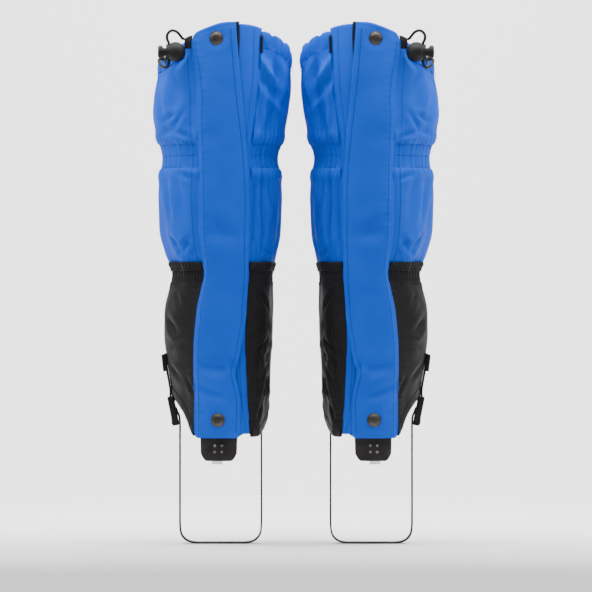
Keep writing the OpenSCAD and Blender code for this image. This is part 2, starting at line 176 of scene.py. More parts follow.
def crease(a, z, start, end, width, depth):
    """A sharp valley with soft shoulders from start to end, each an angle and a height."""
    p = np.stack(np.broadcast_arrays(a * DEGREE, z), -1)
    s = np.array([start[0] * DEGREE, start[1]])
    run = np.array([end[0] * DEGREE, end[1]]) - s
    t = np.clip(((p - s) @ run) / (run @ run), 0, 1)
    away = np.linalg.norm(p - s - t[..., None] * run, axis=-1)
    fade = np.sin(np.pi * np.clip(t * 0.86 + 0.07, 0, 1))
    return 1.35 * depth * fade * (-bump(away, width) + 0.55 * bump(away - 2.1 * width, 1.3 * width))


# ---------------------------------------------------------------- meshes
def mesh_piece(name, verts, faces, side, uvs):
    """A mesh object from millimetre points drawn for the right leg; the left one is its mirror image."""
    verts = np.array(verts, float) * MM
    if side == "left":
        verts[:, 0] *= -1
        faces = [tuple(reversed(f)) for f in faces]
    mesh = bpy.data.meshes.new(name)
    mesh.from_pydata(verts.tolist(), [], faces)
    layer = mesh.uv_layers.new(name="cloth")
    order = np.empty(len(mesh.loops), dtype=np.int32)
    mesh.loops.foreach_get("vertex_index", order)
    layer.data.foreach_set("uv", np.array(uvs, float)[order].ravel())
    mesh.polygons.foreach_set("use_smooth", [True] * len(mesh.polygons))
    mesh.update()
    obj = bpy.data.objects.new(f"{side}_{name}", mesh)
    bpy.context.scene.collection.objects.link(obj)
    return obj


def swept(rows, count):
    """Faces of a closed skin over rows of rings, each with count points, and a cap at both ends."""
    faces = [(i + k, i + (k + 1) % count, i + count + (k + 1) % count, i + count + k)
             for i in range(0, (rows - 1) * count, count) for k in range(count)]
    return faces + [tuple(reversed(range(count))), tuple((rows - 1) * count + k for k in range(count))]


def two_layers(outer, inner):
    """Vertices and faces of a closed skin between two grids of points, outer seen from outside."""
    rows, cols = outer.shape[:2]
    count = rows * cols
    at = np.arange(count).reshape(rows, cols)
    a, b, c, d = (q.ravel() for q in (at[:-1, :-1], at[1:, :-1], at[1:, 1:], at[:-1, 1:]))
    faces = [tuple(f) for f in np.stack([a, d, c, b], 1).tolist()]
    faces += [tuple(f) for f in (np.stack([a, b, c, d], 1) + count).tolist()]
    loop = np.concatenate([at[0, :], at[1:, -1], at[-1, -2::-1], at[-2:0:-1, 0]])
    after = np.roll(loop, -1)
    faces += [tuple(f) for f in np.stack([after, loop, loop + count, after + count], 1).tolist()]
    return np.vstack([outer.reshape(-1, 3), inner.reshape(-1, 3)]), faces


def grid_uv(outer):
    """Distances along a grid of points, in metres, for the weave to follow."""
    across = np.linalg.norm(np.diff(outer, axis=1), axis=2)
    u = np.concatenate([np.zeros((outer.shape[0], 1)), np.cumsum(across, axis=1)], axis=1)
    u -= u[:, [u.shape[1] // 2]]
    uv = np.stack([u * MM, outer[..., 2] * MM], -1).reshape(-1, 2)
    return np.vstack([uv, uv])


def sheet_grid(a0, a1, low, high, cols, rows):
    """Angles and heights of a grid between two seams, each a function of height, and two edges by angle."""
    c = np.linspace(0, 1, cols + 1)[None, :]
    r = np.linspace(0, 1, rows + 1)[:, None]
    bottom = low(a0(FLAP_BOTTOM) * (1 - c) + a1(FLAP_BOTTOM) * c)
    top = high(a0(TOP_LEVEL) * (1 - c) + a1(TOP_LEVEL) * c)
    z = bottom * (1 - r) + top * r
    return a0(z) * (1 - c) + a1(z) * c, z


def level(height):
    return lambda a: height + 0 * a


def turned(edge, by):
    return lambda z: edge(z) + by


def cloth(name, side, a, z, off, thickness):
    """A sheet of cloth over the grid of angles and heights, its middle standing off the leg by off."""
    half = 0.5 * thickness * np.ones_like(z)
    for ring, share in ((0, 0.45), (1, 0.85)):
        for edge in (half[ring], half[-1 - ring], half[:, ring], half[:, -1 - ring]):
            edge[...] = np.minimum(edge, 0.5 * thickness * share)
    outer, inner = leg(a, z, off + half), leg(a, z, off - half)
    verts, faces = two_layers(outer, inner)
    return mesh_piece(name, verts, faces, side, grid_uv(outer)), outer


# ---------------------------------------------------------------- materials
class Nodes:
    """Short names for building a material's nodes."""

    def __init__(self, name):
        self.material = bpy.data.materials.new(name)
        self.material.use_nodes = True
        self.tree = self.material.node_tree
        self.shader = self.tree.nodes["Principled BSDF"]

    def add(self, kind, **settings):
        node = self.tree.nodes.new(kind)
        for key, value in settings.items():
            if key in node.inputs:
                node.inputs[key].default_value = value
            else:
                setattr(node, key, value)
        return node

    def link(self, source, target):
        self.tree.links.new(source, target)

    def math(self, operation, a, b=0.0):
        node = self.add("ShaderNodeMath", operation=operation)
        for socket, value in zip(node.inputs, (a, b)):
            if isinstance(value, (int, float)):
                socket.default_value = value
            else:
                self.link(value, socket)
        return node.outputs[0]

    def ramp(self, value, *stops):
        node = self.add("ShaderNodeValToRGB")
        while len(node.color_ramp.elements) < len(stops):
            node.color_ramp.elements.new(0.5)
        for element, (place, color) in zip(node.color_ramp.elements, stops):
            element.position, element.color = place, (*color, 1)
        self.link(value, node.inputs[0])
        return node.outputs[0]

    def bump(self, height, distance, strength=1.0, normal=None):
        node = self.add("ShaderNodeBump", Strength=strength, Distance=distance)
        self.link(height, node.inputs["Height"])
        if normal is not None:
            self.link(normal, node.inputs["Normal"])
        return node.outputs[0]

    def noise(self, vector, scale, detail=3.0):
        node = self.add("ShaderNodeTexNoise", Scale=scale, Detail=detail)
        self.link(vector, node.inputs["Vector"])
        return node.outputs["Fac"]

    def set(self, **values):
        for key, value in values.items():
            self.shader.inputs[key.replace("_", " ")].default_value = value


def shade(color, factor):
    return tuple(min(1.0, c * factor) for c in color)


def woven(name, color, pitch, relief, roughness, sheen, twill=False, variation=0.12):
    """Cloth: threads crossing at the pitch in metres, soft cloudy colour, a little fuzz at grazing angles."""
    m = Nodes(name)
    uv = m.add("ShaderNodeUVMap", uv_map="cloth").outputs[0]
    split = m.add("ShaderNodeSeparateXYZ")
    m.link(uv, split.inputs[0])
    u, v = split.outputs[0], split.outputs[1]
    if twill:
        u = m.math("ADD", u, v)
    turn = 2 * math.pi / pitch
    warp = m.math("SINE", m.math("MULTIPLY", u, turn))
    weft = m.math("SINE", m.math("MULTIPLY", v, turn))
    weave = m.math("MULTIPLY", m.math("ADD", warp, weft), 0.25)
    weave = m.math("ADD", weave, 0.5)
    position = m.add("ShaderNodeTexCoord").outputs["Object"]
    cloud = m.noise(position, 22, 5)
    grain = m.noise(position, 1400, 2)
    mixed = m.math("ADD", m.math("MULTIPLY", cloud, 0.7), m.math("MULTIPLY", weave, 0.3))
    tint = m.ramp(mixed, (0.25, shade(color, 1 - variation)), (0.75, shade(color, 1 + variation)))
    m.link(tint, m.shader.inputs["Base Color"])
    rough = m.math("ADD", m.math("MULTIPLY", grain, 0.12), roughness - 0.06)
    m.link(rough, m.shader.inputs["Roughness"])
    fuzz = m.bump(grain, 0.00006, 0.35)
    m.link(m.bump(weave, relief, 0.6, fuzz), m.shader.inputs["Normal"])
    m.set(Sheen_Weight=sheen, Sheen_Roughness=0.45, Specular_IOR_Level=0.16)
    m.shader.inputs["Sheen Tint"].default_value = (*shade(color, 1.6), 1)
    return m.material


def moulded(name, color, roughness, metallic=0.0, relief=0.00006, scale=900.0, wear=0.2):
    """Moulded plastic, lacquered or plated metal, or grained leather: fine relief and faint wear."""
    m = Nodes(name)
    position = m.add("ShaderNodeTexCoord").outputs["Object"]
    grain = m.noise(position, scale, 4)
    cloud = m.noise(position, 90, 5)
    tint = m.ramp(cloud, (0.3, shade(color, 1 - wear)), (0.7, shade(color, 1 + 2 * wear)))
    m.link(tint, m.shader.inputs["Base Color"])
    rough = m.math("ADD", m.math("MULTIPLY", cloud, 0.25), roughness - 0.12)
    m.link(rough, m.shader.inputs["Roughness"])
    m.link(m.bump(grain, relief, 0.5), m.shader.inputs["Normal"])
    m.set(Metallic=metallic, Specular_IOR_Level=0.5 if metallic else 0.22)
    return m.material


BLUE = (0.0, 0.074, 0.54)
MATERIALS = {
    "shell": woven("shell_fabric", BLUE, 0.0011, 0.00012, 0.7, 0.02, twill=True),
    "blue_thread": woven("blue_thread", shade(BLUE, 0.42), 0.0006, 0.00005, 0.6, 0.1),
    "scuff": woven("scuff_fabric", (0.0095, 0.009, 0.01), 0.0009, 0.0001, 0.68, 0.03),
    "dark_thread": woven("dark_thread", (0.009, 0.0085, 0.009), 0.0006, 0.00005, 0.6, 0.1),
    "binding": woven("binding_tape", (0.02, 0.0165, 0.015), 0.0014, 0.00015, 0.6, 0.1),
    "elastic": woven("elastic_band", (0.013, 0.013, 0.014), 0.0012, 0.0003, 0.65, 0.1),
    "tape": woven("closure_tape", (0.008, 0.008, 0.008), 0.0013, 0.0005, 0.8, 0.25),
    "cord": woven("cord_braid", (0.008, 0.008, 0.009), 0.0016, 0.0003, 0.55, 0.1, twill=True),
    "webbing": woven("webbing", (0.012, 0.0115, 0.012), 0.0018, 0.0004, 0.6, 0.1),
    "snap": moulded("snap_metal", (0.065, 0.058, 0.052), 0.38, 0.85, 0.00003, 500),
    "plastic": moulded("black_plastic", (0.006, 0.006, 0.0065), 0.55),
    "steel": moulded("bright_steel", (0.62, 0.62, 0.64), 0.25, 1.0, 0.00002, 1200, 0.08),
    "leather": moulded("tab_leather", (0.017, 0.0145, 0.014), 0.45, 0.0, 0.00025, 700),
}


def finish_piece(obj, material, slot, body, *replaced):
    """Gives a piece its material, sets it on its body, and hides the CAD nodes it stands for; slot is not
    used.
    """
    obj.data.materials.clear()
    obj.data.materials.append(MATERIALS[material])
    if replaced:
        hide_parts(*replaced)
    if body:
        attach(obj, body)
    return obj


def dress(node, material):
    """A CAD node whose shape is right keeps it, and gets a better material."""
    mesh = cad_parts[node].data
    mesh.materials.clear()
    mesh.materials.append(MATERIALS[material])


# ---------------------------------------------------------------- cloth shapes
def gathers(a, z, centre, half, spacing, reach, seed):
    """Puckers that elastic draws in a band: round ridges and sharp valleys, fading above and below."""
    wander = waves(a, 0 * z, seed, 26)
    ridge = 2 * np.abs(np.sin(np.pi * a * DEGREE / spacing + 1.6 * wander)) - 1
    beyond = np.clip(np.abs(z - centre) - half, 0, None)
    edges = 0.7 + 0.45 * bump(np.abs(z - centre) - half, 4)
    return edges * ridge * np.exp(-((beyond / (reach * (1 + 0.7 * waves(a, 0 * z, seed + 1, 14)))) ** 2))


def window(x, low, high, soft):
    return smooth((x - low) / soft) * smooth((high - x) / soft)


def groove(distance, width=0.8, depth=0.5):
    """The furrow that a row of stitching pulls into the cloth."""
    return -depth * bump(distance, width)


ELASTIC = {"calf": (408.5, 12.0), "ankle": (282.5, 5.5)}  # middle height and half width of the two bands


def calf_shape(a, z):
    """How far the calf panel's cloth stands off the leg's plain shape."""
    middle, half = ELASTIC["calf"]
    inner = window(a, 20, 150, 35)
    out = 2.1 * waves(a, z, 11, 40) * (1 - 0.7 * bump(z - middle, 20))
    out += (0.5 + 1.1 * inner + 0.5 * window(a, 110, 260, 30)) * gathers(a, z, middle, half, 6.6, 17, 12)
    out += -1.4 * window(z, middle - half - 3, middle + half + 3, 4)
    out += 1.8 * bump(z - middle - half - 8, 6.5) + 1.8 * bump(z - middle + half + 8, 6.5)
    for edge in (-half, 0, half):
        out += groove(z - middle - edge, 0.9, 0.45)
    # upright folds between the bands, beside the closure on the inner side
    folds = -2.6 * bump(a - 33, 3.2) + 1.5 * bump(a - 39, 4) - 2.6 * bump(a - 46.5 + 0.02 * (z - 350), 2.8)
    folds += 1.5 * bump(a - 57, 8) - 1.0 * bump(a - 73, 5) + 1.0 * bump(a - 84, 7)
    out += 1.25 * folds * window(z, 300, 398, 22)
    # folds that fan up from the calf elastic, on both sides
    fan = 1.5 * bump(a - 38 - 0.06 * (z - 420), 5) - 1.3 * bump(a - 48 - 0.10 * (z - 420), 4)
    fan += 1.4 * bump(a - 62 - 0.12 * (z - 420), 7) - 1.2 * bump(a - 78 - 0.05 * (z - 420), 5)
    out += 1.35 * fan * window(z, 416, 520, 30)
    out += (1.6 * bump(a - 292, 14) - 0.9 * bump(a - 316, 8)) * window(z, 420, 535, 40)
    out += (1.2 * bump(a - 296, 12) + 0.8 * bump(a - 322, 6)) * window(z, 305, 395, 25)
    for valley in (
        ((31, 515), (47, 482), 4.6, -2.6), ((34, 492), (50, 470), 4.4, 2.0),
        ((50, 512), (54, 486), 4.0, 1.9), ((60, 505), (66, 470), 4.4, -1.7),
        ((44, 470), (62, 452), 3.6, -1.2), ((33, 470), (37, 436), 2.8, 1.3),
        ((52, 380), (60, 340), 3.6, 1.6), ((40, 350), (46, 312), 2.6, -1.4),
        ((66, 372), (60, 328), 4.0, 1.5), ((306, 500), (322, 470), 4.6, 1.7),
        ((300, 480), (310, 445), 5.0, -1.5), ((322, 520), (312, 500), 3.4, 1.5),
        ((326, 455), (314, 437), 3.0, 1.6), ((300, 446), (318, 452), 2.8, 1.4),
        ((298, 380), (306, 340), 4.6, 1.7), ((46, 500), (58, 462), 3.2, 1.3),
        ((68, 492), (62, 448), 3.6, 1.1), ((40, 462), (50, 432), 2.6, 1.0),
        ((316, 434), (335, 427), 3.0, 1.4), ((290, 430), (312, 436), 3.2, 0.9),
        ((318, 390), (336, 384), 3.0, 1.5), ((315, 388), (325, 336), 5.0, 1.5),
        ((303, 324), (314, 311), 3.6, 2.3), ((317, 305), (329, 322), 3.0, 1.7),
        ((326, 318), (333, 306), 2.4, 1.2), ((309, 300), (318, 314), 2.6, 1.1),
        ((36, 322), (44, 303), 2.6, 1.2), ((52, 312), (66, 305), 3.0, 1.3),
        ((76, 322), (70, 304), 3.2, 1.2), ((120, 330), (138, 306), 4.0, 1.7),
        ((150, 312), (172, 322), 4.0, 1.5), ((196, 330), (215, 308), 4.2, 1.7),
        ((240, 318), (262, 308), 3.8, 1.5), ((130, 452), (150, 430), 4.0, 1.3),
        ((190, 436), (205, 462), 4.4, 1.3), ((232, 456), (246, 430), 4.0, 1.3),
    ):
        out += crease(a, z, *valley)
    # the cord draws the rim in, and its puckers run down from the rim
    below = z - rim(a)
    out += -2.6 * smooth((below + 42) / 30) * window(a, 24, 340, 12) * (1 - 0.8 * window(a, 60, 120, 14))
    puckers = sum(-1.5 * bump(a - place - 0.05 * (z - 530), 2.3) for place in RIM_NICKS)
    out += puckers * smooth((below + 44) / 34)
    # the panel is drawn in where it meets the seam to the ankle panel
    out += -0.9 * smooth((306 - z) / 10) + 0.35 * gathers(a, z, 298, 1, 7.4, 9, 14)
    return out


def ankle_shape(a, z):
    """How far the ankle panel's cloth stands off the leg's plain shape."""
    middle, half = ELASTIC["ankle"]
    inner = window(a, 34, 120, 14)
    out = 1.5 * waves(a, z, 21, 40) * window(z, 90, 292, 12)
    out += 0.75 * gathers(a, z, middle, half, 4.6, 7, 22)
    out += -0.8 * window(z, middle - half - 2, middle + half + 2, 3)
    for edge in (-half, half):
        out += groove(z - middle - edge, 0.8, 0.5)
    out += 1.3 * inner * gathers(a, z, 185, 25, 15.0, 40, 23) * window(z, 125, 262, 35)
    for valley in (
        ((48, 264), (62, 248), 2.6, 1.6), ((62, 216), (47, 203), 2.8, 2.0),
        ((48, 194), (46, 158), 2.8, 1.9), ((64, 188), (50, 171), 2.6, 1.9),
        ((68, 172), (55, 154), 2.6, 1.7), ((72, 204), (60, 196), 2.6, 1.5),
        ((76, 230), (66, 222), 3.2, 1.2), ((56, 150), (50, 132), 2.6, 1.5),
        ((82, 180), (74, 160), 3.0, 1.4), ((290, 238), (313, 222), 4.6, 2.4),
        ((300, 208), (322, 214), 3.0, 1.2), ((286, 190), (308, 176), 3.6, 1.4),
        ((304, 262), (318, 250), 3.0, 1.2), ((318, 176), (328, 158), 2.8, 1.2),
        ((120, 240), (140, 222), 4.0, 1.8), ((150, 190), (172, 204), 4.0, 1.8),
        ((196, 238), (220, 224), 4.4, 1.8), ((232, 200), (250, 182), 4.0, 1.6),
        ((110, 176), (128, 160), 3.6, 1.5), ((206, 160), (222, 148), 3.6, 1.4),
    ):
        out += crease(a, z, *valley)
    # the sewn seams beside the closure are drawn flat and puckered
    for seam in (a - 360 - flap_root(z) + 6.5, a - inner_seam(z) - 8.5):
        away = seam * DEGREE
        out += groove(away - 1.6, 0.7, 0.4) + groove(away + 1.6, 0.7, 0.4)
        out += 0.3 * np.sin(2 * np.pi * z / 6.3 + waves(a, z, 24, 30)) * bump(away, 5)
    return out * smooth((z - panel_hem(a)) / 10 + 0.4)


def flap_shape(a, z):
    """How far the middle of the front flap stands off the leg's plain shape."""
    root, edge = flap_root(z), flap_edge(z)
    from_root, from_edge = (a - root) * DEGREE, (edge - a) * DEGREE
    out = 1.9 + 3.2 * smooth((from_root + 1.5) / 9)
    out += 0.45 * waves(a, z, 31, 60, stretch=1.2) * smooth(from_root / 8)
    for valley in (
        ((-20, 189), (11, 186), 5.5, 1.7), ((-25, 167), (5, 157), 5.0, 1.9),
        ((-13, 329), (18, 325), 8.0, 1.4), ((-16, 347), (-4, 336), 5.0, 0.8),
        ((8, 200), (18, 178), 3.5, 1.0), ((-8, 268), (14, 260), 9.0, 0.6),
        ((-24, 142), (-12, 136), 4.0, 0.8), ((-6, 492), (6, 470), 8.0, 0.5),
        ((-16, 434), (4, 424), 9.0, 0.5),
    ):
        out += crease(a, z, *valley)
    out += 1.6 * smooth((z - 470) / 70) * smooth(1 - from_edge / 22)
    out += (2.2 * bump(z - 186, 26) + 1.2 * bump(z - 285, 30)) * smooth(1 - from_edge / 18)
    out += groove(from_root - 5.6, 0.8, 0.5)
    out += 0.16 * np.sin(2 * np.pi * z / 7.1 + 2 * waves(0 * a, z, 33, 40)) * bump(from_root - 5.4, 6)
    out += groove(from_edge - 5.5, 0.8, 0.32)
    out += groove(rim(a) - z - 5.0, 0.8, 0.5) + groove(z - FLAP_BOTTOM - 8.0, 0.8, 0.4)
    for angle, height in SNAPS:
        away = np.hypot((a - angle) * DEGREE, z - height)
        out += -0.7 * bump(away, 9) + 0.5 * bump(away - 13, 5)
    # the sewn edge is pressed down on the panels beside it
    beside = np.where(z < PANEL_SEAM, ankle_shape(a + 360, z), calf_shape(a + 360, z))
    pressed = smooth((-0.2 - from_root) / 1.7)
    return out * (1 - pressed) + (beside + 1.0) * pressed


def placket_shape(a, z):
    """The underflap: flat under the flap, a soft strip that shows beside it."""
    beside = (inner_seam(z) - a) * DEGREE
    out = 0.5 * waves(a, z, 41, 50, stretch=1.0) * smooth((a - 8) / 10)
    out += groove(beside - 7.5, 0.8, 0.6) - 0.9 * bump(beside, 1.6)
    out += 0.5 * bump(beside - 4, 2.6)
    out += 1.2 * bump(z - 175, 40) * smooth((a - 14) / 10)
    out += -1.5 * bump((a - flap_edge(z)) * DEGREE - 0.6, 1.9) * window(z, 118, 330, 12)
    return out - 0.25


# ---------------------------------------------------------------- stitches
def stitches(name, side, path, normal, material, slot):
    """A row of short raised threads along a path of points on the cloth, set into it by half a thread."""
    pitch, length, radius = 3.3, 2.4, 0.32
    run = distances(path)
    count = max(2, int(run[-1] // pitch))
    starts = (np.arange(count) + 0.5) * run[-1] / count - length / 2
    rings, sides = 5, 6
    heads, tails = along_path(path, run, starts), along_path(path, run, starts + length)
    along = unit(tails - heads)
    up = along_path(normal, run, starts + length / 2)
    up = unit(up - (up * along).sum(1)[:, None] * along)
    across = np.cross(along, up)
    verts, faces = [], []
    for i in range(count):
        base = len(verts)
        for r in range(rings):
            t = r / (rings - 1)
            size = radius * (0.35 + 0.65 * math.sin(math.pi * t) ** 0.5)
            rise = 0.15 + 0.45 * math.sin(math.pi * t)
            centre = heads[i] + (tails[i] - heads[i]) * t + up[i] * radius * rise
            for k in range(sides):
                turn = 2 * math.pi * k / sides
                verts.append(centre + size * (across[i] * math.cos(turn) + up[i] * math.sin(turn)))
        for r in range(rings - 1):
            for k in range(sides):
                p, q = base + r * sides + k, base + r * sides + (k + 1) % sides
                faces.append((p, q, q + sides, p + sides))
        faces.append(tuple(base + k for k in reversed(range(sides))))
        faces.append(tuple(base + (rings - 1) * sides + k for k in range(sides)))
    verts = np.array(verts)
    obj = mesh_piece(name, verts, faces, side, verts[:, [0, 2]] * MM)
    return finish_piece(obj, material, slot, None)


def row_on(shape, a, z, lift):
    """Points and outward directions along a row on a cloth's face."""
    a, z = np.broadcast_arrays(np.asarray(a, float), np.asarray(z, float))
    face = shape(a, z) + lift
    return leg(a, z, face), leg(a, z, face + 1) - leg(a, z, face)


# ---------------------------------------------------------------- pieces
def hem_wave(a):
    """The drawn-in rim isn't level: it rises and falls between the cord's gathers, each with a nick."""
    changes = ((20, -4.2), (33, -4.8), (42, -3.6), (52, -2.8), (61, -1.6), (76, 3.2), (95, 3.2),
               (130, 1), (200, 0))
    level_change = np.interp(a, *zip(*changes))
    nicks = sum(1.7 * bump(a - place, 1.7) for place in RIM_NICKS)
    return (1.1 * waves(a, 0 * a, 51, 30) + level_change - nicks) * window(a, 24, 330, 5)


def rolled(name, side, a, profile):
    """A closed strip folded round an edge: profile(a) lists heights and stand-offs, as pairs of arrays."""
    rings = np.stack([leg(a, z, off) for z, off in profile(a)], 0)
    count, cols = rings.shape[:2]
    verts = rings.reshape(-1, 3)
    at = np.arange(count * cols).reshape(count, cols)
    nxt = np.roll(at, -1, axis=0)
    quads = np.stack([at[:, :-1], nxt[:, :-1], nxt[:, 1:], at[:, 1:]], -1).reshape(-1, 4)
    faces = [tuple(f) for f in quads.tolist()]
    faces += [tuple(at[:, 0].tolist()), tuple(reversed(at[:, -1].tolist()))]
    steps = np.linalg.norm(np.diff(rings, axis=0), axis=2)
    v = np.vstack([np.zeros((1, cols)), np.cumsum(steps, 0)])
    uv = np.stack([np.broadcast_to(distances(rings[0]), v.shape), v], -1).reshape(-1, 2) * MM
    return mesh_piece(name, verts, faces, side, uv)


def hem_profile(a):
    """The top hem: down the outside to its stitching, round the cord, over the fold, and down the inside."""
    top = rim(a) + hem_wave(a)
    ripple = 0.9 * gathers(a, top, 0, 999, 9.5, 1, 52) * (0.4 + 0.6 * window(a, 30, 150, 10))
    ripple = ripple - sum(1.1 * bump(a - place, 2.0) for place in RIM_NICKS)
    base = calf_shape(a, top - 17)
    outer = ((-18, 0.85), (-17, 1.05), (-16, 0.95), (-14, 1.2), (-11, 1.7), (-8, 2.0), (-5, 2.0), (-2.4, 1.7),
             (-0.7, 1.1), (0, 0.4), (-0.1, -0.8), (-1.0, -1.9), (-3, -2.6), (-8, -3.3), (-13, -2.6),
             (-17, -1.7), (-18, -1.0))
    points = []
    for down, off in outer:
        share = smooth(-down / 4) * (1 if down > -16 else 0.25)
        points.append((top + down, base + off + ripple * share * (1 if off > 0 else 0.5)))
    points += [(top - 17.5, base - 0.4), (top - 17.5, base + 0.4)]
    return points


def binding_profile(a):
    """The tape folded round the lower edge of the ankle panel."""
    edge = panel_hem(a)
    base = ankle_shape(a, edge + 4)
    ripple = 0.25 * waves(a, 0 * a, 53, 9)
    outer = ((9, 0.9), (8.6, 1.6), (7.2, 1.75), (6.6, 1.5), (5.8, 1.85), (2, 2.1), (0, 1.9), (-1.0, 1.1),
             (-1.3, 0), (-1.0, -1.1), (0, -1.9), (4, -1.9), (8.6, -1.6), (9, -0.9))
    return [(edge + up, base + off + ripple * (abs(off) > 1.3)) for up, off in outer]


def band_profile(a):
    """The folded band that covers the seam between the two panels."""
    base = np.maximum(calf_shape(a, 297.5 + 0 * a), ankle_shape(a, 290 + 0 * a))
    ripple = 0.35 * gathers(a, 0 * a, 0, 999, 7.4, 1, 14)
    outer = ((287.8, 0.5), (288, 1.0), (289, 1.5), (290.4, 1.1), (292, 1.5), (294.5, 1.9), (296.6, 1.6),
             (297.4, 0.9), (297.2, 0.4))
    return [(z + 0.4 * waves(a, 0 * a, 54, 40), base + off + ripple * (off > 1.2)) for z, off in outer]


def tube_piece(name, side, path, radius):
    """A round cord along a path of points, with distances along and round it for the braid to follow."""
    sides = 16
    tangent = unit(np.gradient(path, axis=0))
    sideways = np.array([0.13, 0.21, 0.97])
    run = distances(path)
    verts, uv = [], []
    for i, point in enumerate(path):
        sideways = sideways - (sideways @ tangent[i]) * tangent[i]
        sideways /= np.linalg.norm(sideways)
        other = np.cross(tangent[i], sideways)
        for k in range(sides + 1):
            turn = 2 * math.pi * k / sides
            verts.append(point + radius * (sideways * math.cos(turn) + other * math.sin(turn)))
            uv.append((run[i] * MM, radius * turn * MM))
    row = sides + 1
    faces = [(i * row + k, i * row + k + 1, (i + 1) * row + k + 1, (i + 1) * row + k)
             for i in range(len(path) - 1) for k in range(sides)]
    faces += [tuple(reversed(range(sides))), tuple((len(path) - 1) * row + k for k in range(sides))]
    return mesh_piece(name, verts, faces, side, uv)


def ribbon_piece(name, side, points, thickness, width, y):
    """Webbing that follows points in the XZ plane, with rounded edges and fine ribs along it."""
    step = 2.0
    path = smooth_route(np.array([(x, 0, z) for x, z in points], float), 8)
    run = distances(path)
    stops = np.linspace(0, run[-1], max(3, int(run[-1] / step)) + 1)
    path = along_path(path, run, stops)
    tangent = unit(np.gradient(path, axis=0))
    normal = np.stack([-tangent[:, 2], 0 * stops, tangent[:, 0]], -1)
    across = np.linspace(-1, 1, 25)
    edge = np.sqrt(np.clip(1 - np.clip((np.abs(across) - 0.9) / 0.1, 0, 1) ** 2, 0.06, 1))
    ribs = 0.07 * np.cos(across * width * math.pi / 1.25)
    half = (thickness / 2 - 0.07) * edge + ribs * edge
    ring = np.concatenate([across, across[::-1]])
    lift = np.concatenate([half, -half[::-1]])
    verts = (path[:, None] + normal[:, None] * lift[None, :, None]
             + np.array([0, 1, 0])[None, None] * (y + ring[None, :, None] * width / 2)).reshape(-1, 3)
    uv = [(place * width / 2 * MM, s * MM) for s in stops for place in ring]
    return mesh_piece(name, verts, swept(len(stops), len(ring)), side, uv)


def revolved(name, side, angle, height, off, profile):
    """A round piece that stands out from the leg: profile lists (radius, height) pairs."""
    segments = 64
    angle, height, off = (np.array(float(value)) for value in (angle, height, off))
    base = leg(angle, height, off)
    up = leg(angle, height, off + 1) - base
    rise = leg(angle, height + 5, off) - base
    up -= (up @ rise) / (rise @ rise) * rise
    up /= np.linalg.norm(up)
    side_way = np.cross(rise / np.linalg.norm(rise), up)
    other = np.cross(up, side_way)
    verts, uv = [], []
    for radius, lift in profile:
        for k in range(segments):
            turn = 2 * math.pi * k / segments
            spoke = side_way * math.cos(turn) + other * math.sin(turn)
            verts.append(base + up * lift + spoke * radius)
            uv.append((radius * math.cos(turn) * MM, radius * math.sin(turn) * MM))
    return mesh_piece(name, verts, swept(len(profile), segments), side, uv)


CAP = [(7.1, 0), (7.5, 0.35), (7.45, 0.8), (7.1, 1.15), (6.7, 1.2), (6.45, 1.0), (6.3, 0.95), (6.0, 1.15),
       (5.4, 1.6), (4.4, 2.0), (3.2, 2.25), (1.8, 2.38), (0.6, 2.42)]  # radius and height on a snap's cap


def flap_sheet(side):
    """The front flap, from its sewn edge to its free edge; it rises off the panels beside the seam."""
    a, z = sheet_grid(turned(flap_root, -2), flap_edge, flap_low, flap_top, 88, 300)
    obj, outer = cloth("flap", side, a, z, flap_shape(a, z), 1.9)
    finish_piece(obj, "shell", "shell_fabric", None, f"{side}_front_flap", f"{side}_flap_seam")
    bend(obj)
    return obj, outer


def flap_low(a):
    return FLAP_BOTTOM + 4.0 * np.clip((-a - 26) / 6, 0, 1) ** 2 + 2.0 * np.clip((a - 19) / 4, 0, 1) ** 2


def flap_top(a):
    return (rim(a) - 0.4 + 0.5 * waves(a, 0 * a, 55, 40) - 1.4 * smooth((a + 6) / 14)
            - 4.2 * np.clip((-a - 22) / 8, 0, 1) ** 2.5)


def bend(obj):
    """Bakes a piece's placing into its mesh."""
    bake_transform(obj)


def stitch_row(name, side, shape, a, z, lift, material, slot, body=None):
    """A row of stitches on a cloth; it rides on a body, or with no body its placing is baked into its mesh.
    """
    points, out = row_on(shape, a, z, lift)
    obj = stitches(name, side, points, unit(out), material, slot)
    if body:
        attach(obj, body)
    else:
        bend(obj)


def panel_top(a):
    """The calf panel's upper edge: inside the hem, and higher where the hem stops beside the closure."""
    past_hem = smooth((a - 316) / 5) + smooth((37.5 - a) / 2)
    return rim(a) + hem_wave(a) - 15.5 + 11 * past_hem


def panels(side):
    """The calf panel, the ankle panel and the placket, as sheets of cloth."""
    shell = f"{side}_shell"
    sheets = []
    start, end = turned(inner_seam, 0.25), turned(flap_root, 360)
    a, z = sheet_grid(start, end, level(295.6), panel_top, 330, 200)
    obj, outer = cloth("calf_panel", side, a, z, calf_shape(a, z), 1.6)
    sheets.append((finish_piece(obj, "shell", "shell_fabric", shell, f"{side}_calf_panel"), outer))
    a, z = sheet_grid(start, end, panel_hem, level(296.2), 330, 180)
    obj, outer = cloth("ankle_panel", side, a, z, ankle_shape(a, z), 1.6)
    sheets.append((finish_piece(obj, "scuff", "scuff_fabric", shell, f"{side}_ankle_panel"), outer))
    a, z = sheet_grid(turned(flap_root, 1), turned(inner_seam, 1.6), level(117), turned(rim, -3.6), 60, 240)
    obj, outer = cloth("placket", side, a, z, placket_shape(a, z), 1.5)
    sheets.append((finish_piece(obj, "shell", "shell_fabric", shell, f"{side}_placket"), outer))
    return sheets


